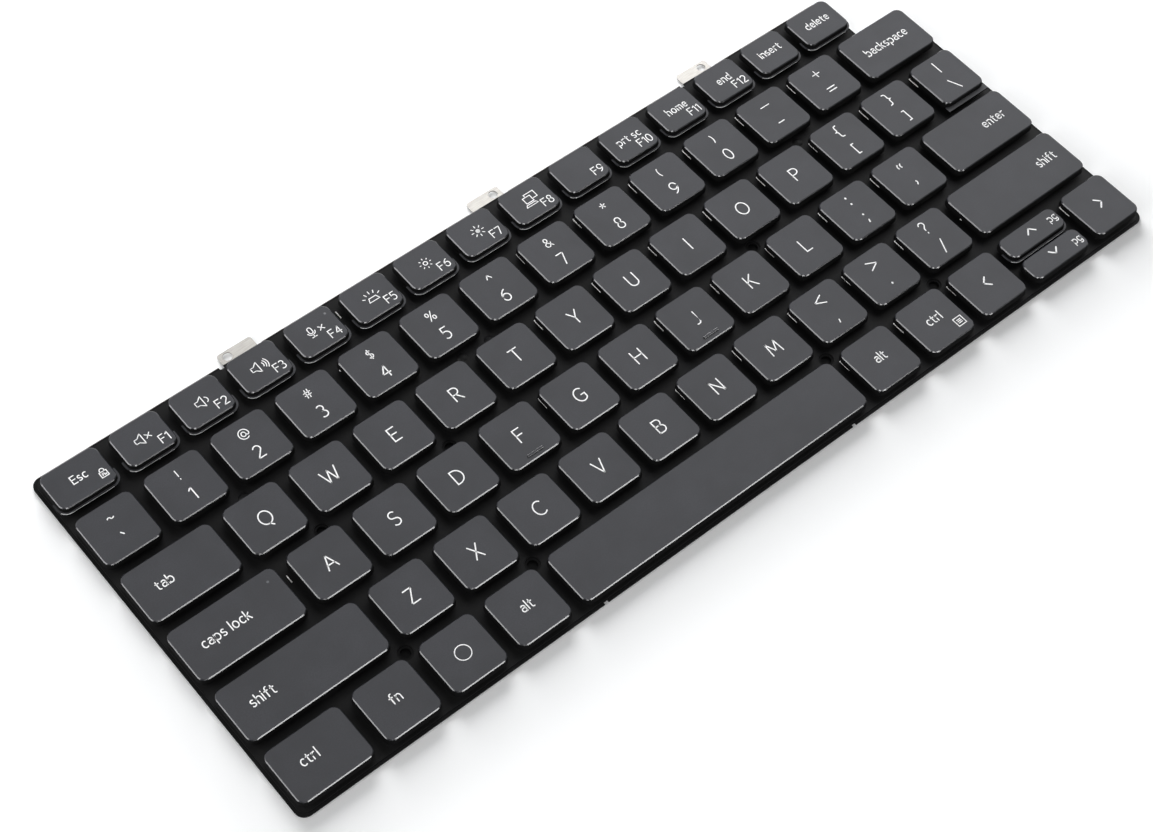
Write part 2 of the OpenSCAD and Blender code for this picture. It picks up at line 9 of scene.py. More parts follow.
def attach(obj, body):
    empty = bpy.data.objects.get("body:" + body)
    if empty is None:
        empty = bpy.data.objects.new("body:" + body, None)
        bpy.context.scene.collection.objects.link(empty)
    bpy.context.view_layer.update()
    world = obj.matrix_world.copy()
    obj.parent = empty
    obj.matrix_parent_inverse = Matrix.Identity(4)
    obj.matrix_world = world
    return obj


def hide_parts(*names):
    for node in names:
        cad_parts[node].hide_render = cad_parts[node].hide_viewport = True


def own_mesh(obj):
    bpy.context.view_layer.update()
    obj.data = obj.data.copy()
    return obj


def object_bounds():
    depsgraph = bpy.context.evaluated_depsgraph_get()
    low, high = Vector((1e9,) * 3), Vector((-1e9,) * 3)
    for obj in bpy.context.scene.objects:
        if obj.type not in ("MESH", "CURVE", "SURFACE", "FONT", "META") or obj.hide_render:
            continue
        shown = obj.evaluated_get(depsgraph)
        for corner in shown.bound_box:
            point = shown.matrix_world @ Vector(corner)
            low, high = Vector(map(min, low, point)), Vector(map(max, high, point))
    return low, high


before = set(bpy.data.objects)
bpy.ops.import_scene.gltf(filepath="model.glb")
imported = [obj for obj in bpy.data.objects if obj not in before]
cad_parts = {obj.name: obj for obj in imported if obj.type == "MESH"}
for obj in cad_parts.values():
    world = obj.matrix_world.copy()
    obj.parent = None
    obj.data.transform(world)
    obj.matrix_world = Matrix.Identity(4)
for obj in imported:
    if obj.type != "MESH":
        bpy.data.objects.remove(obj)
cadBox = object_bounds()
scene = bpy.context.scene
mm = 0.001
print("frame loaded:", len(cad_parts), "nodes")

camera = {
    "place": (-0.219639, -0.220136, 0.437510),  # metres
    "turn": (33.4403, -2.4558, -39.7313),  # degrees about x, y and z
    "lens": 69.75,
    "sensor": 36.0,
    "clip": (0.01, 20),
}


def makeCamera():
    data = bpy.data.cameras.new("camera")
    data.lens = camera["lens"]
    data.sensor_width = camera["sensor"]
    data.clip_start, data.clip_end = camera["clip"]
    obj = bpy.data.objects.new("camera", data)
    turn = Euler([math.radians(angle) for angle in camera["turn"]])
    obj.matrix_world = Matrix.Translation(camera["place"]) @ turn.to_matrix().to_4x4()
    scene.collection.objects.link(obj)
    scene.camera = obj


makeCamera()


def hexColour(text, alpha=1.0):
    # sRGB hex to the linear values that Blender's sockets take
    parts = [int(text[i : i + 2], 16) / 255 for i in (0, 2, 4)]
    return [c / 12.92 if c <= 0.04045 else ((c + 0.055) / 1.055) ** 2.4 for c in parts] + [alpha]


def addNode(tree, kind, settings=None, links=None):
    # Adds one node, with its settings and the sockets that feed it
    node = tree.nodes.new(kind)
    for name, value in (settings or {}).items():
        if isinstance(name, str) and hasattr(node, name):
            setattr(node, name, value)
        else:
            node.inputs[name].default_value = value
    for name, source in (links or {}).items():
        tree.links.new(source, node.inputs[name])
    return node


def newMaterial(name):
    material = bpy.data.materials.new(name)
    material.use_nodes = True
    material.node_tree.nodes.clear()
    return material, material.node_tree


studio = {
    "floorColour": "f4f5f6",
    "floorHalf": 6.0,
    # The least and the most that the paper glows, and how far from the keyboard it glows so
    "glow": (0.17, 0.6),
    "glowFrom": (0.008, 0.055),
    "worldStrength": 0.2,
    "panelDistance": 0.85,
    # Aim, size, power, and whether it shows in reflections only or gives light only
    "panels": {
        "softbox": ((0.74, 0.40, 0.54), (1.2, 1.2), 11.4, "sheen"),
        "backLamp": ((0.30, 0.80, 0.50), (0.55, 0.55), 9.5, "light"),
        "leftFill": ((-0.80, -0.10, 0.50), (0.4, 0.4), 2.2, "light"),
        "frontPanel": ((0.16, -0.92, 0.36), (0.6, 0.25), 10.0, "sheen"),
        "leftPanel": ((-0.83, 0.30, 0.42), (0.8, 0.6), 17.0, "sheen"),
        "cornerPanel": ((-0.45, -0.60, 0.60), (0.3, 0.3), 6.0, "sheen"),
    },
}


def areaLight(name, aim, size, power):
    data = bpy.data.lights.new(name, "AREA")
    data.shape = "RECTANGLE"
    data.size, data.size_y = size
    data.energy = power
    obj = bpy.data.objects.new(name, data)
    obj.location = Vector(aim).normalized() * studio["panelDistance"]
    obj.rotation_mode = "QUATERNION"
    obj.rotation_quaternion = obj.location.to_track_quat("Z", "Y")
    scene.collection.objects.link(obj)
    return obj


def makeStudio():
    # Floor: matt white sweep paper. It glows for the camera and in reflections alone, so that it reads
    # as white, and less beside the keyboard, so that the shadow stays
    material, tree = newMaterial("sweepPaper")
    diffuse = addNode(tree, "ShaderNodeBsdfDiffuse", {"Color": hexColour(studio["floorColour"])})
    path = addNode(tree, "ShaderNodeLightPath").outputs
    seen = {0: path["Is Camera Ray"], 1: path["Is Glossy Ray"]}
    eye = addNode(tree, "ShaderNodeMath", {"operation": "MAXIMUM"}, seen).outputs[0]
    away = addNode(tree, "ShaderNodeTexCoord").outputs["Object"]
    for step in ({"operation": "ABSOLUTE"}, {"operation": "SUBTRACT", 1: cadBox[1]}, {"operation": "MAXIMUM"}):
        away = addNode(tree, "ShaderNodeVectorMath", step, {0: away}).outputs[0]
    away = addNode(tree, "ShaderNodeVectorMath", {"operation": "LENGTH"}, {0: away}).outputs["Value"]
    (least, most), (near, far) = studio["glow"], studio["glowFrom"]
    fade = {"From Min": near, "From Max": far, "To Min": least, "To Max": most}
    strength = addNode(tree, "ShaderNodeMapRange", fade, {"Value": away}).outputs[0]
    strength = addNode(tree, "ShaderNodeMath", {"operation": "MULTIPLY"}, {0: eye, 1: strength}).outputs[0]
    glow = addNode(tree, "ShaderNodeEmission", links={"Strength": strength})
    both = addNode(tree, "ShaderNodeAddShader", links={0: diffuse.outputs[0], 1: glow.outputs[0]})
    addNode(tree, "ShaderNodeOutputMaterial", links={"Surface": both.outputs[0]})
    mesh = bpy.data.meshes.new("floor")
    half = studio["floorHalf"]
    corners = [(-half, -half, 0), (half, -half, 0), (half, half, 0), (-half, half, 0)]
    mesh.from_pydata(corners, [], [(0, 1, 2, 3)])
    mesh.materials.append(material)
    floor = bpy.data.objects.new("floor", mesh)
    scene.collection.objects.link(floor)

    world = bpy.data.worlds.new("studio")
    scene.world = world
    world.use_nodes = True
    tree = world.node_tree
    tree.nodes.clear()
    eye = addNode(tree, "ShaderNodeLightPath").outputs["Is Camera Ray"]
    shown = addNode(tree, "ShaderNodeBackground", {"Color": (1, 1, 1, 1), "Strength": 1.0})
    fill = addNode(tree, "ShaderNodeBackground", {"Color": (1, 1, 1, 1), "Strength": studio["worldStrength"]})
    mix = addNode(tree, "ShaderNodeMixShader", links={0: eye, 1: fill.outputs[0], 2: shown.outputs[0]})
    addNode(tree, "ShaderNodeOutputWorld", links={"Surface": mix.outputs[0]})

    for name, (aim, size, power, gives) in studio["panels"].items():
        panel = areaLight(name, aim, size, power)
        panel.visible_diffuse = gives == "light"
        panel.visible_glossy = gives == "sheen"
    scene.view_settings.view_transform = "Standard"


makeStudio()
print("camera and studio made")

# Layout of the keys, in millimetres, as in the solids
layout = {
    "pitch": 18.07,
    "gap": 3.34,
    "units": 14.465,  # width of a row, in pitches
    "left": -129.221275,  # left edge of every row
    "frontRow": -43.84,  # middle of the front row
    "functionPitch": 16.26,
    "functionDepth": 11.0,
    "functionGap": 3.65,
    "escapeWidth": 15.0,
    "deleteWidth": 14.3,
    "halfGap": 1.6,  # between the two half-height arrows
    "top": 4.25,  # height of the keycaps' tops
    "numberRow": 4,
    "functionRow": 5,
    # Rows from the front: names, and widths in pitches. A last key that has none fills its row
    "rows": (
        (
            "left_ctrl fn ring left_alt space right_alt right_ctrl arrow_left arrows arrow_right",
            [1.264, 1, 1, 1, 5, 1, 1, 1, 1.236, 1],
        ),
        ("left_shift z x c v b n m comma period slash right_shift", [2.25] + [1] * 10),
        ("caps_lock a s d f g h j k l semicolon quote enter", [1.75] + [1] * 11),
        ("tab q w e r t y u i o p left_bracket right_bracket backslash", [1.5] + [1] * 12),
        ("backtick 1 2 3 4 5 6 7 8 9 0 minus equals backspace", [1] * 13),
    ),
}


def layKeys():
    # Every key as a dictionary with its name, centre, size, row and the body that it rides on
    keys = []
    pitch, gap, left = layout["pitch"], layout["gap"], layout["left"]
    depth = pitch - gap
    for row, (names, units) in reversed(list(enumerate(layout["rows"]))):
        y = layout["frontRow"] + row * pitch
        start = 0
        for i, name in enumerate(names.split()):
            unit = units[i] if i < len(units) else layout["units"] - sum(units)
            x = left - gap / 2 + (start + unit / 2) * pitch
            start += unit
            width = unit * pitch - gap
            body = "base" if row == layout["numberRow"] else "key_" + name
            if name != "arrows":
                keys.append(dict(name=name, x=x, y=y, w=width, d=depth, row=row, body=body))
                continue
            half = (depth - layout["halfGap"]) / 2
            shift = (layout["halfGap"] + half) / 2
            for part, side in (("arrow_up", 1), ("arrow_down", -1)):
                back = y + side * shift
                keys.append(dict(name=part, x=x, y=back, w=width, d=half, row=row, body="key_" + part))
    y = layout["frontRow"] + layout["numberRow"] * pitch + depth / 2
    depth, row = layout["functionDepth"], layout["functionRow"]
    y += layout["functionGap"] + depth / 2
    widths = {"escape": layout["escapeWidth"], "delete": layout["deleteWidth"]}
    x = left
    for name in ["escape"] + ["f%d" % i for i in range(1, 13)] + ["insert", "delete"]:
        width = widths.get(name, layout["functionPitch"] - gap)
        keys.append(dict(name=name, x=x + width / 2, y=y, w=width, d=depth, row=row, body="base"))
        x += width + gap
    return keys


keys = layKeys()
print("keys laid out:", len(keys))

# Sockets of a Mix node go by number, because their names repeat
colourA, colourB, colourOut = 6, 7, 2
numberA, numberB, numberOut = 2, 3, 0
noiseRange = {"From Min": 0.3, "From Max": 0.7}  # noise stays mostly between these two


def perMillimetre(size):
    # Noise scale, in metres, that gives features of this size in millimetres
    return 1000 / size


def around(middle, swing):
    # Map Range settings that turn noise into a number on both sides of a middle one
    return {**noiseRange, "To Min": middle - swing, "To Max": middle + swing}


paint = {
    "top": "2f3034",
    "topDark": "2b2c30",
    "speck": "37383d",
    # Painted shade: the near-black colour of the keycaps' steep flanks
    "shadedFlank": "060607",
    "cloud": 9.0,
    "grain": 0.33,
    "grainDepth": 0.003,
    "roughness": 0.5,
    "swing": 0.05,
    "edgeRoughness": 0.2,
    "flankRoughness": 0.75,
    "specular": 0.4,
    "flankSpecular": 0.06,
    "ior": 1.45,
    # Upward part of a face's normal: from the painted shade of the steep flanks to the top's grey, and from a
    # bevel to the level top
    "flankShadeMask": (0.3, 0.4),
    "level": (0.94, 0.98),
}


def paintedAbs():
    # Moulded ABS with a matt charcoal paint: even grey tops with a dust-fine grain and a thin sheen on the
    # bevels. The steep flanks are painted nearly black as painted shade, by how little each face points up.
    # The grain is drawn three times as coarse as it is, so that it shows
    material, tree = newMaterial("paintedAbs")
    place = addNode(tree, "ShaderNodeTexCoord").outputs["Object"]
    facing = addNode(tree, "ShaderNodeNewGeometry").outputs["Normal"]
    upward = addNode(tree, "ShaderNodeSeparateXYZ", links={0: facing}).outputs[2]
    # The first mask picks the painted shade of the flanks, the second the level top
    flankShadeMask, level = [
        addNode(tree, "ShaderNodeMapRange", {"From Min": low, "From Max": high}, {"Value": upward}).outputs[0]
        for low, high in (paint["flankShadeMask"], paint["level"])
    ]
    grain, cloud = [
        addNode(tree, "ShaderNodeTexNoise", {"Scale": perMillimetre(size)}, {"Vector": place}).outputs[0]
        for size in (paint["grain"], paint["cloud"])
    ]
    specks, clouds = [
        addNode(tree, "ShaderNodeMapRange", noiseRange, {"Value": pattern}).outputs[0]
        for pattern in (grain, cloud)
    ]
    ground, speckled = [
        addNode(
            tree,
            "ShaderNodeMix",
            {"data_type": "RGBA", colourA: hexColour(paint[one]), colourB: hexColour(paint[two])},
            {0: clouds},
        ).outputs[colourOut]
        for one, two in (("top", "topDark"), ("speck", "top"))
    ]
    grained = {0: specks, colourA: ground, colourB: speckled}
    top = addNode(tree, "ShaderNodeMix", {"data_type": "RGBA"}, grained).outputs[colourOut]
    # Painted shade: faces that point little upward take the near-black flank colour instead of the top's grey
    shadedFlank = {"data_type": "RGBA", colourA: hexColour(paint["shadedFlank"])}
    colour = addNode(tree, "ShaderNodeMix", shadedFlank, {0: flankShadeMask, colourB: top}).outputs[colourOut]
    swing = around(paint["roughness"], paint["swing"])
    rough = addNode(tree, "ShaderNodeMapRange", swing, {"Value": grain}).outputs[0]
    for factor, roughness in ((level, paint["edgeRoughness"]), (flankShadeMask, paint["flankRoughness"])):
        links = {0: factor, numberB: rough}
        rough = addNode(tree, "ShaderNodeMix", {numberA: roughness}, links).outputs[numberOut]
    speculars = {numberA: paint["flankSpecular"], numberB: paint["specular"]}
    sheen = addNode(tree, "ShaderNodeMix", speculars, {0: flankShadeMask}).outputs[numberOut]
    bump = addNode(tree, "ShaderNodeBump", {"Distance": paint["grainDepth"] * mm}, {"Height": grain}).outputs[0]
    shader = addNode(
        tree,
        "ShaderNodeBsdfPrincipled",
        {"IOR": paint["ior"]},
        {"Base Color": colour, "Roughness": rough, "Specular IOR Level": sheen, "Normal": bump},
    )
    addNode(tree, "ShaderNodeOutputMaterial", links={"Surface": shader.outputs[0]})
    return material


steel = {
    "coat": "070708",
    "coatRoughness": 0.6,
    "coatSpecular": 0.1,
    "nickel": "adaba7",
    "nickelDark": "9d9a96",
    "nickelRoughness": 0.38,
    "swing": 0.06,
    "nickelSpecular": 0.5,
    "bareFrom": (52.48, 52.52),  # towards the back, where the coat stops
    "streak": 0.12,
    "streakScale": (0.05, 1, 1),  # drawn out along the rows
    "streakDepth": 0.002,
}


def coatedSteel():
    # Rolled sheet steel with a black coat, and nickel left bare on the tabs: pale and softly streaked
    material, tree = newMaterial("coatedSteel")
    place = addNode(tree, "ShaderNodeTexCoord").outputs["Object"]
    back = addNode(tree, "ShaderNodeSeparateXYZ", links={0: place}).outputs[1]
    low, high = steel["bareFrom"]
    edge = {"From Min": low * mm, "From Max": high * mm}
    bare = addNode(tree, "ShaderNodeMapRange", edge, {"Value": back}).outputs[0]
    drawn = addNode(tree, "ShaderNodeMapping", {"Scale": steel["streakScale"]}, {"Vector": place}).outputs[0]
    scale = {"Scale": perMillimetre(steel["streak"])}
    streaks = addNode(tree, "ShaderNodeTexNoise", scale, {"Vector": drawn}).outputs[0]
    drift = addNode(tree, "ShaderNodeMapRange", noiseRange, {"Value": streaks}).outputs[0]
    shades = {"data_type": "RGBA", colourA: hexColour(steel["nickel"]), colourB: hexColour(steel["nickelDark"])}
    nickel = addNode(tree, "ShaderNodeMix", shades, {0: drift}).outputs[colourOut]
    coat = {"data_type": "RGBA", colourA: hexColour(steel["coat"])}
    colour = addNode(tree, "ShaderNodeMix", coat, {0: bare, colourB: nickel}).outputs[colourOut]
    swing = around(steel["nickelRoughness"], steel["swing"])
    rough = addNode(tree, "ShaderNodeMapRange", swing, {"Value": streaks}).outputs[0]
    links = {0: bare, numberB: rough}
    rough = addNode(tree, "ShaderNodeMix", {numberA: steel["coatRoughness"]}, links).outputs[numberOut]
    speculars = {numberA: steel["coatSpecular"], numberB: steel["nickelSpecular"]}
    sheen = addNode(tree, "ShaderNodeMix", speculars, {0: bare}).outputs[numberOut]
    depth = {"Distance": steel["streakDepth"] * mm}
    bump = addNode(tree, "ShaderNodeBump", depth, {"Height": streaks}).outputs[0]
    look = {"Base Color": colour, "Roughness": rough, "Metallic": bare}
    look.update({"Specular IOR Level": sheen, "Normal": bump})
    shader = addNode(tree, "ShaderNodeBsdfPrincipled", links=look)
    addNode(tree, "ShaderNodeOutputMaterial", links={"Surface": shader.outputs[0]})
    return material


finishes = {
    # Printed PET film: black with a satin face
    "satinFilm": dict(
        colour="050506", shade="08080a", cloud=6.0, grain=0.3, depth=0.003, roughness=0.55, specular=0.15
    ),
    # Silicone rubber: milky and dull
    "siliconeRubber": dict(
        colour="b4b8bc", shade="a6aab0", cloud=3.0, grain=0.1, depth=0.002, roughness=0.6, ior=1.42
    ),
    # Acetal: dense white with a waxy face
    "acetalResin": dict(
        colour="e9e9e4", shade="dededa", cloud=3.0, grain=0.1, depth=0.001, roughness=0.35, ior=1.48
    ),
    # Spring steel wire, drawn bright
    "drawnSpringSteel": dict(
        colour="b9b9b7", shade="9d9d9b", cloud=1.0, grain=0.06, depth=0.001, roughness=0.3, metallic=1.0
    ),
    # Acrylic sheet: pale and glossy
    "acrylicSheet": dict(
        colour="d9e2e4", shade="d0dadd", cloud=8.0, grain=0.5, depth=0.0005, roughness=0.15, ior=1.49
    ),
    # Reflector film with a black back: dull and nearly black from below
    "blackBackedFilm": dict(
        colour="060607", shade="09090a", cloud=12.0, grain=0.3, depth=0.002, roughness=0.5, specular=0.08
    ),
    # Pad printed ink: flat white
    "whiteInk": dict(colour="ffffff", shade="f6f7f8", cloud=2.0, grain=0.08, depth=0.001, roughness=0.6),
    # Moulded resin that no paint reached: clean white
    "bareResin": dict(colour="f7f7f5", shade="ececea", cloud=1.0, grain=0.1, depth=0.001, roughness=0.45),
    # Painted highlight: a pale line along an edge, where light catches it, with a low sheen
    "paintedEdgeHighlight": dict(colour="e8e9ea", shade="cfd0d2", cloud=1.5, grain=0.1, depth=0.001, roughness=0.35),
    # Moulded acrylic with a smoke tint: a small grey window over an indicator
    "smokedWindow": dict(colour="6a6c70", shade="606266", cloud=1.0, grain=0.2, depth=0.0005, roughness=0.2),
}
finishDefaults = {"metallic": 0.0, "ior": 1.5, "specular": 0.5, "swing": 0.05}  # where a finish names none


def plainFinish(name, look):
    # One moulded, drawn or printed surface: a colour that drifts slightly and a fine grain
    look = {**finishDefaults, **look}
    material, tree = newMaterial(name)
    place = addNode(tree, "ShaderNodeTexCoord").outputs["Object"]
    grain, cloud = [
        addNode(tree, "ShaderNodeTexNoise", {"Scale": perMillimetre(size)}, {"Vector": place}).outputs[0]
        for size in (look["grain"], look["cloud"])
    ]
    drift = addNode(tree, "ShaderNodeMapRange", noiseRange, {"Value": cloud}).outputs[0]
    shades = {"data_type": "RGBA", colourA: hexColour(look["colour"]), colourB: hexColour(look["shade"])}
    colour = addNode(tree, "ShaderNodeMix", shades, {0: drift}).outputs[colourOut]
    swing = around(look["roughness"], look["swing"])
    rough = addNode(tree, "ShaderNodeMapRange", swing, {"Value": grain}).outputs[0]
    bump = addNode(tree, "ShaderNodeBump", {"Distance": look["depth"] * mm}, {"Height": grain}).outputs[0]
    shader = addNode(
        tree,
        "ShaderNodeBsdfPrincipled",
        {"Metallic": look["metallic"], "IOR": look["ior"], "Specular IOR Level": look["specular"]},
        {"Base Color": colour, "Roughness": rough, "Normal": bump},
    )
    addNode(tree, "ShaderNodeOutputMaterial", links={"Surface": shader.outputs[0]})
    return material


materials = {name: plainFinish(name, look) for name, look in finishes.items()}
materials["paintedAbs"] = paintedAbs()
materials["coatedSteel"] = coatedSteel()

nodeFinish = {
    "reflector_sheet": "blackBackedFilm",
    "light_guide": "acrylicSheet",
    "base_plate": "coatedSteel",
    "switch_membrane": "satinFilm",
    "rubber_domes": "siliconeRubber",
    "scissor_outer_links": "acetalResin",
    "scissor_inner_links": "acetalResin",
    "stabilizer_bars": "drawnSpringSteel",
}
sharpFrom = 25  # degrees between two faces that meet in a sharp edge
for name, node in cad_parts.items():
    for place in node.material_slots:
        place.material = materials[nodeFinish.get(name, "paintedAbs")]
    # Round corners shaded as round, with every real edge kept sharp
    node.data.shade_smooth()
    node.data.set_sharp_from_angle(angle=math.radians(sharpFrom))
print("finishes made:", len(materials))

# Scissors, domes and bars under the keys
mechanism = {
    "nodes": ("rubber_domes", "scissor_outer_links", "scissor_inner_links", "stabilizer_bars"),
    "margin": 0.5,  # how far past a keycap's edge its workings may reach
    "anchor": 1.05,  # height that stays still when a key goes down
    "keep": 0.351,  # what is left of the height above it when the key is down
    "weld": 0.0005,
}


def nodeTriangles(name):
    # Corners of each triangle of a CAD node, in metres
    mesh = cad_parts[name].data
    mesh.calc_loop_triangles()
    return [[mesh.vertices[i].co.copy() for i in triangle.vertices] for triangle in mesh.loop_triangles]


def shareOut(triangles):
    # The triangles under each key
    shares = {key["name"]: [] for key in keys}
    margin = mechanism["margin"]
    for triangle in triangles:
        x = sum(corner.x for corner in triangle) / 3 / mm
        y = sum(corner.y for corner in triangle) / 3 / mm
        for key in keys:
            if abs(x - key["x"]) < key["w"] / 2 + margin and abs(y - key["y"]) < key["d"] / 2 + margin:
                shares[key["name"]].append(triangle)
                break
    return shares


def meshFromParts(name, parts):
    # One mesh from lists of triangles, each list with its own finish
    mesh = bpy.data.meshes.new(name)
    places, faces, which = [], [], []
    for finish, triangles in parts:
        if not triangles:
            continue
        if finish not in mesh.materials:
            mesh.materials.append(materials[finish])
        slot = mesh.materials.find(finish)
        for triangle in triangles:
            faces.append(tuple(range(len(places), len(places) + 3)))
            places.extend(triangle)
            which.append(slot)
    mesh.from_pydata(places, [], faces)
    mesh.polygons.foreach_set("material_index", which)
    work = bmesh.new()
    work.from_mesh(mesh)
    bmesh.ops.remove_doubles(work, verts=work.verts, dist=mechanism["weld"] * mm)
    work.to_mesh(mesh)
    work.free()
    return mesh


def addPiece(name, mesh, body):
    piece = bpy.data.objects.new(name, mesh)
    scene.collection.objects.link(piece)
    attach(piece, body)
    return piece


def makeMechanism():
    # One piece for each moving key, and one for the two rows that stand still
    shares = {name: shareOut(nodeTriangles(name)) for name in mechanism["nodes"]}
    still = []
    for key in keys:
        parts = [(nodeFinish[name], shares[name][key["name"]]) for name in mechanism["nodes"]]
        if key["body"] == "base":
            still += parts
            continue
        name, joint = "workings_" + key["name"], "press_" + key["name"]
        piece = addPiece(name, meshFromParts(name, parts), "base")
        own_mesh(piece)
    name = "workings_back_rows"
    piece = addPiece(name, meshFromParts(name, still), "base")
    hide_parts(*mechanism["nodes"])


makeMechanism()
print("workings made")

# Strokes of each sign on a cap height of 1. "x,y" is a point, "@x,y,rx,ry,from,to" an arc in degrees,
# and | lifts the pen
signs = {
    "A": "0,0 .36,1|.36,1 .72,0|.12,.33 .6,.33",
    "B": "0,0 0,1 .28,1 @.28,.77,.23,.23,90,-90 0,.54|.28,.54 @.3,.27,.28,.27,90,-90 0,0",
    "C": "@.4,.5,.4,.5,52,308",
    "D": "0,0 0,1 .18,1 @.18,.5,.48,.5,90,-90 0,0",
    "E": ".5,1 0,1 0,0 .5,0|0,.53 .44,.53",
    "F": ".5,1 0,1 0,0|0,.53 .44,.53",
    "G": "@.4,.5,.4,.5,52,318 .7,.48 .44,.48",
    "H": "0,0 0,1|.66,0 .66,1|0,.53 .66,.53",
    "I": "0,0 0,1",
    "J": ".3,1 .3,.2 @.06,.22,.24,.22,0,-110",
    "K": "0,0 0,1|.54,1 0,.42|.2,.6 .58,0",
    "L": "0,1 0,0 .46,0",
    "M": "0,0 .08,1|.08,1 .42,.2|.42,.2 .76,1|.76,1 .84,0",
    "N": "0,0 0,1|0,1 .64,0|.64,0 .64,1",
    "O": "@.41,.5,.41,.5,90,450",
    "P": "0,0 0,1 .26,1 @.26,.74,.28,.26,90,-90 0,.48",
    "Q": "@.41,.5,.41,.5,90,450|.41,.02 .6,-.2",
    "R": "0,0 0,1 .26,1 @.26,.74,.27,.26,90,-90 0,.48|.24,.48 .56,0",
    "S": "@.3,.75,.25,.25,45,230 @.29,.26,.27,.26,55,-140",
    "T": "0,1 .64,1|.32,1 .32,0",
    "U": "0,1 0,.3 @.31,.3,.31,.3,180,360 .62,1",
    "V": "0,1 .34,0|.34,0 .68,1",
    "W": "0,1 .28,0|.28,0 .54,.95|.54,.95 .8,0|.8,0 1.08,1",
    "X": "0,0 .6,1|0,1 .6,0",
    "Y": "0,1 .32,.45|.64,1 .32,.45|.32,.45 .32,0",
    "Z": "0,1 .56,1|.56,1 0,0|0,0 .58,0",
    "0": "@.28,.5,.28,.5,90,450",
    "1": "0,.8 .22,1|.22,1 .22,0",
    "2": "@.27,.72,.26,.28,150,-25 0,0|0,0 .56,0",
    "3": "@.24,.76,.23,.24,130,-90|.24,.52 @.25,.26,.28,.26,90,-130",
    "4": ".44,0 .44,1|.44,1 0,.3|0,.3 .6,.3",
    "5": ".5,1 .09,1 .05,.55|.05,.56 @.23,.31,.28,.31,118,-130",
    "6": "@.62,.33,.6,.67,105,180|@.29,.31,.27,.31,90,450",
    "7": "0,1 .54,1|.54,1 .18,0",
    "8": "@.27,.76,.22,.24,90,450|@.27,.27,.27,.26,90,450",
    "9": "@-.06,.67,.6,.67,285,360|@.27,.69,.27,.31,90,450",
    "~": "@.14,.45,.14,.1,180,0 @.42,.45,.14,.1,180,360",
    "`": "0,.9 .14,.7",
    "!": "0,1 0,.32|0,.06 0,0",
    "@": "@.47,.45,.47,.52,-55,-360 @.8,.45,.14,.2,0,-180|@.45,.45,.2,.24,0,360",
    "#": ".14,.06 .24,.94|.4,.06 .5,.94|.02,.64 .64,.64|0,.36 .62,.36",
    "$": "@.3,.7,.22,.2,45,230 @.29,.3,.24,.2,55,-140|.3,1.05 .3,-.05",
    "%": "@.15,.76,.14,.2,0,360|@.65,.24,.14,.2,0,360|.66,1 .14,0",
    "^": "0,.55 .24,1|.24,1 .48,.55",
    "&": ".7,0 .14,.66 @.28,.78,.17,.2,215,-40 .1,.4 @.26,.25,.25,.25,140,290 .62,.42",
    "*": ".27,.72 .27,1.02|.27,.72 .54,.81|.27,.72 .44,.48|.27,.72 .1,.48|.27,.72 0,.81",
    "(": "@.4,.5,.34,.62,130,230",
    ")": "@-.2,.5,.34,.62,50,-50",
    "-": "0,.4 .5,.4",
    "_": "0,.5 1,.5",
    "+": "0,.5 .84,.5|.42,.08 .42,.92",
    "=": "0,.64 .7,.64|0,.34 .7,.34",
    "{": ".44,1.1 .26,1.07 .2,.96 .2,.64 .16,.55 0,.5 .16,.45 .2,.36 .2,.04 .26,-.07 .44,-.1",
    "}": "0,1.1 .18,1.07 .24,.96 .24,.64 .28,.55 .44,.5 .28,.45 .24,.36 .24,.04 .18,-.07 0,-.1",
    "[": ".24,1.05 0,1.05 0,-.08 .24,-.08",
    "]": "0,1.05 .24,1.05 .24,-.08 0,-.08",
    "|": "0,1.1 0,-.1",
    "\\": "0,1.05 .5,-.05",
    ":": "0,.7 0,.66|0,.04 0,0",
    ";": "0,.7 0,.66|.02,.08 -.05,-.14",
    "\"": ".04,.74 .04,.71|.01,.76 .03,.89 .1,.98|.26,.74 .26,.71|.23,.76 .25,.89 .32,.98",
    "'": ".07,.94 .07,.91|.1,.89 .08,.77 .01,.68",
    ",": ".03,.08 -.05,-.14",
    ".": "0,.05 0,0",
    "<": ".66,.82 0,.5|0,.5 .66,.18",
    ">": "0,.82 .66,.5|.66,.5 0,.18",
    "/": "0,-.05 .46,1.05",
    "?": "@.22,.76,.21,.22,165,-60 .2,.4 .2,.28|.2,.05 .2,0",
    "a": "@.22,.48,.2,.2,140,0 .42,0|.42,.4 .2,.4 @.19,.2,.19,.2,90,270 .3,.02 .42,.14",
    "b": "0,1.03 0,0|@.25,.34,.25,.34,90,450",
    "c": "@.25,.34,.25,.34,55,305",
    "d": "@.24,.34,.24,.34,90,450|.49,1.03 .49,0",
    "e": ".02,.36 .5,.36 @.26,.34,.24,.34,0,315",
    "f": "@.34,.83,.18,.2,80,180 .16,0|0,.66 .34,.66",
    "g": "@.24,.34,.24,.34,90,450|.48,.68 .48,-.08 @.24,-.08,.24,.22,0,-140",
    "h": "0,1.03 0,0|0,.42 @.22,.42,.22,.26,180,0 .44,0",
    "i": "0,.68 0,0|0,.95 0,.9",
    "k": "0,1.03 0,0|.38,.68 0,.3|.14,.42 .4,0",
    "l": "0,1.03 0,0",
    "m": "0,.68 0,0|0,.45 @.17,.45,.17,.23,180,0 .34,0|.34,.45 @.51,.45,.17,.23,180,0 .68,0",
    "n": "0,.68 0,0|0,.42 @.22,.42,.22,.26,180,0 .44,0",
    "o": "@.26,.34,.26,.34,90,450",
    "p": "0,.68 0,-.3|@.25,.34,.25,.34,90,450",
    "r": "0,.68 0,0|0,.4 @.24,.42,.24,.26,180,80",
    "s": "@.19,.51,.17,.17,50,230 @.19,.17,.19,.17,60,-140",
    "t": ".12,.88 .12,.16 @.28,.16,.16,.16,180,280|0,.66 .32,.66",
    " ": "",
}
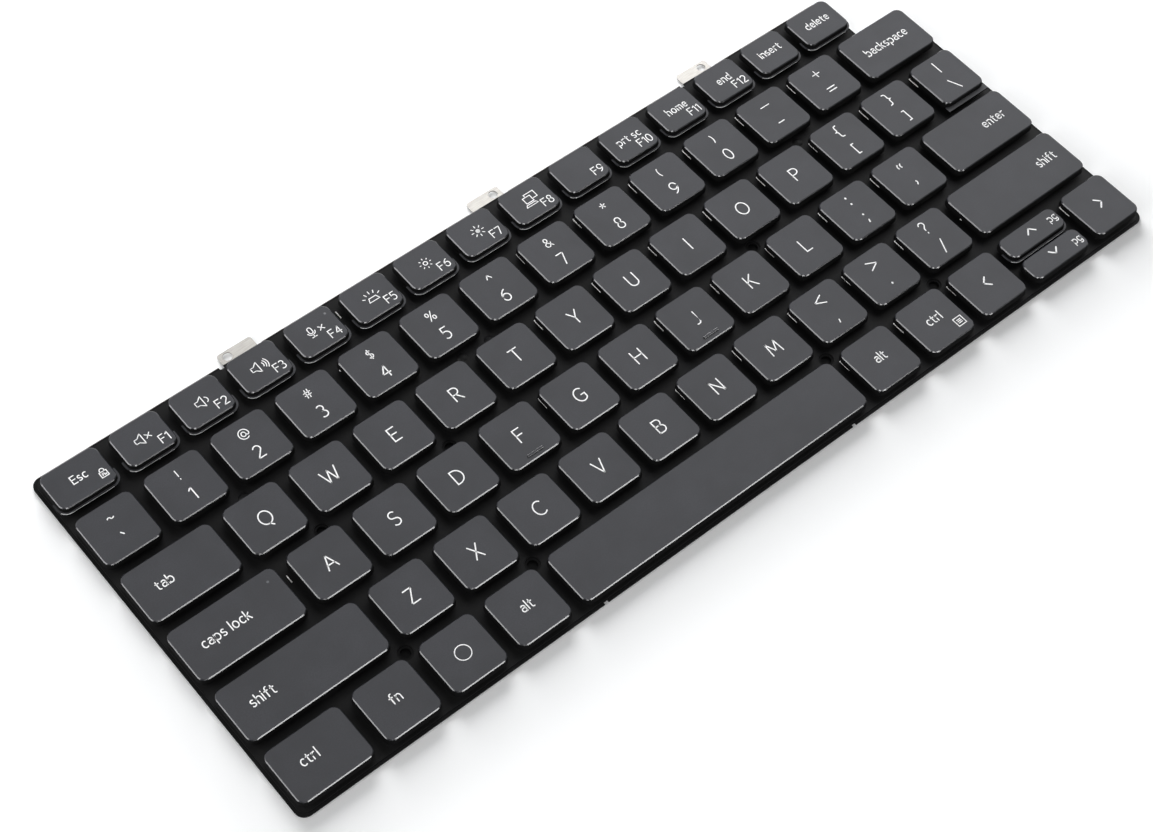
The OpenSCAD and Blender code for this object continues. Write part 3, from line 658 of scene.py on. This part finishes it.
# Icons in millimetres round their own middle
icons = {
    "speaker": "-1.9,.5 -1.2,.5|-1.2,.5 -.3,1.3|-.3,1.3 -.3,-1.3|-.3,-1.3 -1.2,-.5"
    "|-1.2,-.5 -1.9,-.5|-1.9,-.5 -1.9,.5",
    "cross": "-.65,-.65 .65,.65|-.65,.65 .65,-.65",
    "wave": "@0,0,.9,.9,-65,65",
    "waves": "@0,0,.9,.9,-38,38|@0,0,1.5,1.5,-40,40|@0,0,2.1,2.1,-40,40",
    "microphone": "-.45,.1 -.45,.9 @0,.9,.45,.45,180,0 .45,.1 @0,.1,.45,.45,0,-180"
    "|@0,.2,.95,.95,-10,-170|0,-.75 0,-1.4|-.6,-1.4 .6,-1.4",
    "keyGlow": "-1,-.15 1,-.15 1.45,-1.3 -1.45,-1.3 -1,-.15|-2.4,.45 -1.85,.15|-1.3,1.5 -1,.85"
    "|0,1.85 0,1.05|1.3,1.5 1,.85|2.4,.45 1.85,.15",
    "smallSun": "@0,0,.54,.54,90,450",
    "bigSun": "@0,0,.46,.46,90,450|@0,0,.3,.3,90,450|@0,0,.12,.12,90,450",
    "screens": "-1.1,-.75 -1.1,1.15 1.1,1.15 1.1,-.75 -1.1,-.75|-1.85,-1.85 -1.45,-1.2 1.2,-1.2"
    " 1.6,-1.85 -1.85,-1.85|-.2,1.5 -.2,1.95 2.65,1.95 2.65,-.1 1.5,-.1",
    "padlock": "-1,-1.3 1,-1.3 1,.4 -1,.4 -1,-1.3|-.6,.4 -.6,.8 @0,.8,.6,.6,180,0 .6,.4"
    "|-.45,-.15 -.45,-.85|-.45,-.15 0,-.15|-.45,-.5 -.1,-.5|.2,-.35 .2,-.85|.55,-.5 .55,-.85",
    "menu": "-1.3,-1.3 1.3,-1.3 1.3,1.3 -1.3,1.3 -1.3,-1.3|-.6,.5 .6,.5|-.6,0 .6,0|-.6,-.5 .6,-.5",
    "left": ".75,1.4 -.75,0|-.75,0 .75,-1.4",
    "right": "-.75,1.4 .75,0|.75,0 -.75,-1.4",
    "up": "-1.4,-.75 0,.75|0,.75 1.4,-.75",
    "down": "-1.4,.75 0,-.75|0,-.75 1.4,.75",
    "ring": "@0,0,1.9,1.9,90,450",
}
legend = {
    "thickness": 0.012,
    "sunk": 0.004,
    "weld": 0.002,
    "arcStep": 15,  # degrees
    "samePoint": 0.001,  # points nearer than this are one
    "mitre": 1.6,  # longest mitre, in half widths of the pen
    "capSteps": 4,  # round each end of a stroke
    # Shares of the cap height: from sign to sign, width of a space, and longest stroke that is a dot
    "gap": 0.24,
    "space": 0.12,
    "dotLength": 0.08,
    # Cap height and pen width
    "letter": (3.75, 0.33),
    "word": (2.45, 0.3),
    "smallWord": (2.2, 0.28),
    "escape": (2.15, 0.28),
    "function": (2.3, 0.27),
    "page": (2.05, 0.25),
    "number": (3.45, 0.32),
    "shifted": (2.7, 0.26),
    # Pen widths
    "pair": 0.32,
    "dots": 0.5,
    "icon": 0.24,
    "arrow": 0.4,
    # Feet, behind the middle of the keycap. The pairs start with a distance from its middle,
    # its left edge and its right edge
    "shiftedFoot": 1.95,
    "numberFoot": -4.5,
    "smallWordAt": (0.2, -0.75),
    "escapeAt": (5.85, -0.95),
    "functionAt": (1.3, -4.0),
}


def readStrokes(text):
    # The points of each stroke of a sign
    strokes = []
    for part in text.split("|"):
        points = []
        for token in part.split():
            if token[0] != "@":
                points.append(Vector([float(v) for v in token.split(",")]))
                continue
            x, y, rx, ry, start, end = [float(v) for v in token[1:].split(",")]
            steps = max(2, round(abs(end - start) / legend["arcStep"]))
            for i in range(steps + 1):
                turn = math.radians(start + (end - start) * i / steps)
                points.append(Vector((x + rx * math.cos(turn), y + ry * math.sin(turn))))
        if points:
            strokes.append(points)
    return strokes


def inkStroke(points, width):
    # Flat outline faces of one pen stroke with round ends, mitred where it bends
    half, near = width / 2, legend["samePoint"]
    points = [p for i, p in enumerate(points) if i == 0 or (p - points[i - 1]).length > near]
    closed = len(points) > 3 and (points[0] - points[-1]).length < near
    if closed:
        points = points[:-1]
    count = len(points)
    sides = []
    for i, point in enumerate(points):
        ahead = (points[(i + 1) % count] - point) if closed or i < count - 1 else point - points[i - 1]
        behind = (point - points[i - 1]) if closed or i > 0 else ahead
        ahead, behind = ahead.normalized(), behind.normalized()
        across = Vector((-ahead.y - behind.y, ahead.x + behind.x)).normalized()
        stretch = 1 / max(1 / legend["mitre"], across.dot(Vector((-ahead.y, ahead.x))))
        sides.append((point + across * half * stretch, point - across * half * stretch))
    faces = []
    for i in range(count if closed else count - 1):
        j = (i + 1) % count
        faces.append([sides[i][1], sides[j][1], sides[j][0], sides[i][0]])
    if closed:
        return faces
    for end, side in ((0, 0), (count - 1, 1)):
        start = sides[end][side] - points[end]
        cap = []
        for step in range(legend["capSteps"] + 1):
            turn = math.atan2(start.y, start.x) + step * math.pi / legend["capSteps"]
            cap.append(points[end] + Vector((math.cos(turn), math.sin(turn))) * half)
        faces.append(cap)
    return faces


def signEnds(sign):
    # How far a sign reaches to the left and to the right
    across = [point.x for stroke in readStrokes(signs[sign]) for point in stroke]
    return (min(across), max(across)) if across else (0, legend["space"])


def setWord(word, style, x, y, align="centre"):
    # Flat faces of a word: x is its middle, its left end or its right end, and y its foot
    height, stroke = style
    pen, placed = 0.0, []
    for sign in word:
        low, high = signEnds(sign)
        placed.append((sign, pen - low))
        pen += high - low + legend["gap"]
    total = (pen - legend["gap"]) * height
    start = x - {"centre": total / 2, "left": 0, "right": total}[align]
    faces = []
    for sign, shift in placed:
        for points in readStrokes(signs[sign]):
            moved = [Vector((start + (p.x + shift) * height, y + p.y * height)) for p in points]
            isDot = sum((b - a).length for a, b in zip(points, points[1:])) < legend["dotLength"]
            faces += inkStroke(moved, legend["dots"] if isDot and sign in ".:;" else stroke)
    return faces


shiftedSigns = dict(zip("backtick 1 2 3 4 5 6 7 8 9 0 minus equals".split(), "~!@#$%^&*()_+"))
plainSigns = {"backtick": "`", "minus": "-", "equals": "="}
pairs = {
    # name: (upper sign, its height and foot, lower sign, its height and foot)
    "left_bracket": ("{", 3.3, 1.85, "[", 3.0, -4.8),
    "right_bracket": ("}", 3.3, 1.85, "]", 3.0, -4.8),
    "backslash": ("|", 3.0, 2.1, "\\", 3.4, -4.9),
    "semicolon": (":", 3.4, 2.2, ";", 3.4, -4.2),
    "quote": ("\"", 4.3, 0.0, "'", 4.3, -6.3),
    "comma": ("<", 4.0, 1.3, ",", 3.6, -3.9),
    "period": (">", 4.0, 1.3, ".", 3.6, -3.75),
    "slash": ("?", 3.7, 1.85, "/", 3.6, -4.95),
}
words = {
    # name: (word, side, distance from that side, foot)
    "tab": ("tab", "left", 5.55, -0.85),
    "caps_lock": ("caps lock", "left", 5.3, -0.85),
    "left_shift": ("shift", "left", 5.4, -0.7),
    "left_ctrl": ("ctrl", "left", 5.6, -0.4),
    "fn": ("fn", "centre", 0, -0.65),
    "left_alt": ("alt", "centre", 0, -0.65),
    "right_alt": ("alt", "centre", 0, -0.7),
    "right_ctrl": ("ctrl", "centre", 0, -0.7),
    "backspace": ("backspace", "right", 4.3, -0.9),
    "enter": ("enter", "right", 4.2, -0.85),
    "right_shift": ("shift", "right", 3.85, -0.65),
    "arrow_up": ("pg", "right", 0.9, -0.6),
    "arrow_down": ("pg", "right", 0.9, -1.05),
}
smallWords = {"f10": "prt sc", "f11": "home", "f12": "end", "insert": "insert", "delete": "delete"}
keyIcons = {
    # name: [(icon, distance right of the middle, distance behind it, size)]
    "escape": [("padlock", 5.2, -2.3, 0.9)],
    "f1": [("speaker", 0.35, -0.1, 1.25), ("cross", 1.4, -0.1, 0.95)],
    "f2": [("speaker", 0.7, -0.1, 1.25), ("wave", 0.75, -0.1, 0.95)],
    "f3": [("speaker", 0.15, -0.1, 1.25), ("waves", 0.2, -0.1, 1.0)],
    "f4": [("microphone", -1.0, 0.4, 1.1), ("cross", 1.7, 0.15, 0.95)],
    "f5": [("keyGlow", 0.3, 0, 1.0)],
    "f6": [("smallSun", 0.3, 0.1, 1.0)],
    "f7": [("bigSun", 0.25, 0.1, 1.0)],
    "f8": [("screens", 0, 0, 1.0)],
    "right_ctrl": [("menu", 4.65, -3.9, 0.93)],
    "arrow_left": [("left", 0, 0.35, 1.0)],
    "arrow_right": [("right", 0.4, 0.35, 1.0)],
    "arrow_up": [("up", 0.1, 0.8, 0.95)],
    "arrow_down": [("down", 0.2, 0.7, 0.95)],
    "ring": [("ring", 0, 0, 1.0)],
}
sunRays = 8
rayReach = {"smallSun": (1.3, 1.6), "bigSun": (1.2, 1.75)}  # nearest and farthest point of each ray


def legendFaces(key):
    # Everything printed on one keycap
    name, x, y = key["name"], key["x"], key["y"]
    leftEdge, rightEdge = x - key["w"] / 2, x + key["w"] / 2
    faces = []
    if len(name) == 1 and name.isalpha():
        faces += setWord(name.upper(), legend["letter"], x, y - legend["letter"][0] / 2)
    elif name in shiftedSigns:
        faces += setWord(shiftedSigns[name], legend["shifted"], x, y + legend["shiftedFoot"])
        faces += setWord(plainSigns.get(name, name), legend["number"], x, y + legend["numberFoot"])
    elif name in pairs:
        upper, high, foot, lower, lowHigh, lowFoot = pairs[name]
        faces += setWord(upper, (high, legend["pair"]), x, y + foot)
        faces += setWord(lower, (lowHigh, legend["pair"]), x, y + lowFoot)
    if name in words:
        word, side, inset, foot = words[name]
        start = {"left": leftEdge + inset, "right": rightEdge - inset, "centre": x}[side]
        faces += setWord(word, legend["page" if word == "pg" else "word"], start, y + foot, side)
    if name in smallWords:
        inset, foot = legend["smallWordAt"]
        faces += setWord(smallWords[name], legend["smallWord"], x + inset, y + foot)
    if name == "escape":
        inset, foot = legend["escapeAt"]
        faces += setWord("Esc", legend["escape"], leftEdge + inset, y + foot, "left")
    if name[0] == "f" and name[1:].isdigit():
        inset, foot = legend["functionAt"]
        faces += setWord(name.upper(), legend["function"], rightEdge - inset, y + foot, "right")
    for icon, right, back, size in keyIcons.get(name, []):
        middle = Vector((x + right, y + back))
        pen = legend["arrow" if icon in ("left", "right", "up", "down") else "icon"]
        for points in readStrokes(icons[icon]):
            faces += inkStroke([middle + point * size for point in points], pen)
        for ray in range(sunRays if icon in rayReach else 0):
            turn = ray * 2 * math.pi / sunRays
            way = Vector((math.cos(turn), math.sin(turn)))
            faces += inkStroke([middle + way * reach for reach in rayReach[icon]], pen)
    return faces


def inkMesh(name, faces, finish="whiteInk"):
    # Thin closed solids of ink, sunk a hair into the top of the keycap
    work = bmesh.new()
    low = layout["top"] - legend["sunk"]
    for corners in faces:
        work.faces.new([work.verts.new((p.x * mm, p.y * mm, low * mm)) for p in corners])
    bmesh.ops.remove_doubles(work, verts=work.verts, dist=legend["weld"] * mm)
    raised = bmesh.ops.extrude_face_region(work, geom=work.faces[:])
    moved = [item for item in raised["geom"] if isinstance(item, bmesh.types.BMVert)]
    bmesh.ops.translate(work, verts=moved, vec=(0, 0, legend["thickness"] * mm))
    bmesh.ops.recalc_face_normals(work, faces=work.faces)
    mesh = bpy.data.meshes.new(name)
    work.to_mesh(mesh)
    work.free()
    mesh.materials.append(materials[finish])
    return mesh


def nameFor(kind, body, still="back_rows"):
    # Name of the piece of one kind that rides on a body
    return kind + "_" + (still if body == "base" else body.removeprefix("key_"))


def makeLegends():
    byBody = {}
    for key in keys:
        faces = legendFaces(key)
        if faces:
            byBody.setdefault(key["body"], []).extend(faces)
    for body, faces in byBody.items():
        name = nameFor("legend", body)
        addPiece(name, inkMesh(name, faces), body)


makeLegends()
print("legends made")

# Round smoked windows over the indicators
window = {
    "width": 0.62,
    "length": 0.02,  # between the middles of its two ends: all but round
    "places": {"f4": (4.76, 2.93), "caps_lock": (11.2, 4.3)},  # right of the keycap's middle and behind it
}


def makeWindows():
    for key in keys:
        if key["name"] in window["places"]:
            right, back = window["places"][key["name"]]
            start = Vector((key["x"] + right, key["y"] + back))
            spot = inkStroke([start, start + Vector((window["length"], 0))], window["width"])
            name = "window_" + key["name"]
            addPiece(name, inkMesh(name, spot, "smokedWindow"), key["body"])


makeWindows()
print("indicator windows made")

# Bare white resin along the foot of the left flank of many keycaps, where the paint stops, and the light
# pipes of the two indicators, which end beside their keycaps
resin = {
    "flankOut": 0.21,  # from the top's outline out to the foot of the flank
    "flankHeight": 2.52,
    "from": 2.7,  # from the middle of the keycap
    "to": 6.1,
    "cornerRadius": 2.0,
    "thick": 0.14,  # radius of the run
    "head": 1.8,  # how much thicker its back end is
    "step": 0.3,
    "sides": 8,
    "pipeThick": 0.16,
    "pipeHeight": 1.15,
    "pipes": {"f4": (8.25, 1.3, 3.6), "caps_lock": (16.15, 2.4, 4.5)},  # right of the middle, from, to
    # How thick the run is on each keycap
    "strength": dict(
        [(name, 1.0) for name in "8 9 0 minus equals y u i o p right_bracket backslash j k".split()]
        + [(name, 1.0) for name in "semicolon quote m comma slash right_ctrl arrow_right".split()]
        + [(name, 0.6) for name in "7 left_bracket g l n period right_alt arrow_left".split()]
    ),
    "specks": {"4": 4.5, "right_shift": 0.4},  # a speck alone, behind the middle
    "speckLength": 0.5,
    "speckSwell": 0.95,  # more would touch the membrane when the key is down
}
# Painted highlight along the lip's edge at the front of the function row's keycaps and the up arrow's
lipHighlight = {
    "out": 0.67,  # from the top's outline out to the lip's edge
    "height": 2.87,
    "corner": (210, 270),  # degrees, from the flank to the front
    "cornerStep": 15,
    "cornerSwell": 1.6,
    "fade": 1.5,  # from the end of the corner to where the run is at its thinnest
    "thick": 0.065,
}
# Painted highlights along the long edges of the finger bars
barHighlight = {
    "keys": ("f", "j"),
    "inset": 1.6,  # from the keycap's front to the middle of the bar
    "reach": 0.25,  # from the middle of the bar to its edge
    "half": 2.25,
    "height": 4.44,
    "swell": 0.8,
}


def sweepTree():
    # Sweeps a round section along the lines that come in, as thick as each point says
    tree = bpy.data.node_groups.new("sweepRuns", "GeometryNodeTree")
    sockets = {"Lines": "Geometry", "Radius": "Float", "Sides": "Int", "Finish": "Material"}
    for name, kind in sockets.items():
        tree.interface.new_socket(name, in_out="INPUT", socket_type="NodeSocket" + kind)
    tree.interface.new_socket("Runs", in_out="OUTPUT", socket_type="NodeSocketGeometry")
    given = addNode(tree, "NodeGroupInput").outputs
    curve = addNode(tree, "GeometryNodeMeshToCurve", links={"Mesh": given["Lines"]}).outputs[0]
    attribute = {"data_type": "FLOAT", "Name": "swell"}
    swell = addNode(tree, "GeometryNodeInputNamedAttribute", attribute).outputs[0]
    circle = {"Resolution": given["Sides"], "Radius": given["Radius"]}
    section = addNode(tree, "GeometryNodeCurvePrimitiveCircle", links=circle).outputs[0]
    sweep = {"Curve": curve, "Profile Curve": section, "Scale": swell}
    swept = addNode(tree, "GeometryNodeCurveToMesh", {"Fill Caps": True}, sweep).outputs[0]
    real = addNode(tree, "GeometryNodeRealizeInstances", links={0: swept}).outputs[0]
    finish = addNode(tree, "GeometryNodeSetMaterial", links={"Geometry": real, "Material": given["Finish"]})
    addNode(tree, "NodeGroupOutput", links={0: finish.outputs[0]})
    return tree


def sweepRuns(name, runs, tree, thick, finish):
    # One mesh from runs of (point, swell), swept by the tree
    mesh = bpy.data.meshes.new(name + "_lines")
    points = [point for run in runs for point, swell in run]
    edges, start = [], 0
    for run in runs:
        edges += [(start + i, start + i + 1) for i in range(len(run) - 1)]
        start += len(run)
    mesh.from_pydata([Vector(point) * mm for point in points], edges, [])
    swells = mesh.attributes.new("swell", "FLOAT", "POINT")
    swells.data.foreach_set("value", [swell for run in runs for point, swell in run])
    lines = bpy.data.objects.new(name + "_lines", mesh)
    scene.collection.objects.link(lines)
    modifier = lines.modifiers.new("run", "NODES")
    modifier.node_group = tree
    sockets = {item.name: item.identifier for item in tree.interface.items_tree if item.in_out == "INPUT"}
    modifier[sockets["Radius"]] = thick * mm
    modifier[sockets["Sides"]] = resin["sides"]
    modifier[sockets["Finish"]] = materials[finish]
    evaluated = lines.evaluated_get(bpy.context.evaluated_depsgraph_get())
    result = bpy.data.meshes.new_from_object(evaluated)
    lines.modifiers.remove(modifier)
    bpy.data.objects.remove(lines)
    result.name = name
    return result


def flankRun(key, start, end, strength):
    # Points along the foot of the left flank and round its back corner
    corner = resin["cornerRadius"]
    turnAt = key["d"] / 2 - corner
    out = corner + resin["flankOut"]
    middle = Vector((key["x"] - key["w"] / 2 + corner, key["y"] + turnAt))
    steps = max(1, round((end - start) / resin["step"]))
    run = []
    for i in range(steps + 1):
        along = start + (end - start) * i / steps - turnAt
        turn = max(0.0, along) / out
        across = middle.x - out * math.cos(turn)
        back = middle.y + (out * math.sin(turn) if along > 0 else along)
        swell = strength * (resin["head"] if i == steps else 1.0)
        run.append(((across, back, resin["flankHeight"]), swell))
    return run


def lipHighlightRun(key):
    # Points of the painted highlight along the lip's edge: round the front left corner, where it is drawn
    # thickest, and across
    corner = resin["cornerRadius"]
    out = corner + lipHighlight["out"]
    side, front = key["w"] / 2 - corner, key["y"] - key["d"] / 2 + corner
    first, last = lipHighlight["corner"]
    run = []
    for turn in range(first, last + 1, lipHighlight["cornerStep"]):
        angle = math.radians(turn)
        run.append((-side + out * math.cos(angle), front + out * math.sin(angle), lipHighlight["cornerSwell"]))
    run += [(-side + lipHighlight["fade"], front - out, 1.0), (side, front - out, 1.0)]
    return [((key["x"] + x, y, lipHighlight["height"]), swell) for x, y, swell in run]


def barHighlightRuns(key):
    # Painted highlights along the two long edges of a finger bar
    middle = key["y"] - key["d"] / 2 + barHighlight["inset"]
    runs = []
    for side in (-1, 1):
        y = middle + side * barHighlight["reach"]
        ends = (key["x"] - barHighlight["half"], key["x"] + barHighlight["half"])
        runs.append([((x, y, barHighlight["height"]), barHighlight["swell"]) for x in ends])
    return runs


def makeRuns():
    # The runs of bare resin and of painted edge highlight, one piece of each for each body that has some
    tree = sweepTree()
    bare, edgeHighlights = {}, {}
    for key in keys:
        name, body = key["name"], key["body"]
        if key["row"] == layout["functionRow"] or name == "arrow_up":
            edgeHighlights.setdefault(body, []).append(lipHighlightRun(key))
        if name in barHighlight["keys"]:
            edgeHighlights.setdefault(body, []).extend(barHighlightRuns(key))
        if name in resin["strength"]:
            run = flankRun(key, resin["from"], resin["to"], resin["strength"][name])
            bare.setdefault(body, []).append(run)
        if name in resin["specks"]:
            back = resin["specks"][name]
            run = flankRun(key, back, back + resin["speckLength"], resin["speckSwell"])
            bare.setdefault(body, []).append(run)
        if name in resin["pipes"]:
            right, start, end = resin["pipes"][name]
            swell = resin["pipeThick"] / resin["thick"]
            ends = [(key["x"] + right, key["y"] + y, resin["pipeHeight"]) for y in (start, end)]
            bare.setdefault("base", []).append([(point, swell) for point in ends])
    for body, runs in bare.items():
        name = nameFor("resin", body)
        addPiece(name, sweepRuns(name, runs, tree, resin["thick"], "bareResin"), body)
    for body, runs in edgeHighlights.items():
        name = nameFor("edge_highlight", body, "function_row")
        addPiece(name, sweepRuns(name, runs, tree, lipHighlight["thick"], "paintedEdgeHighlight"), body)


makeRuns()
# The edges here are painted highlights along the lips and the finger bars
print("bare resin and painted edge highlights made")
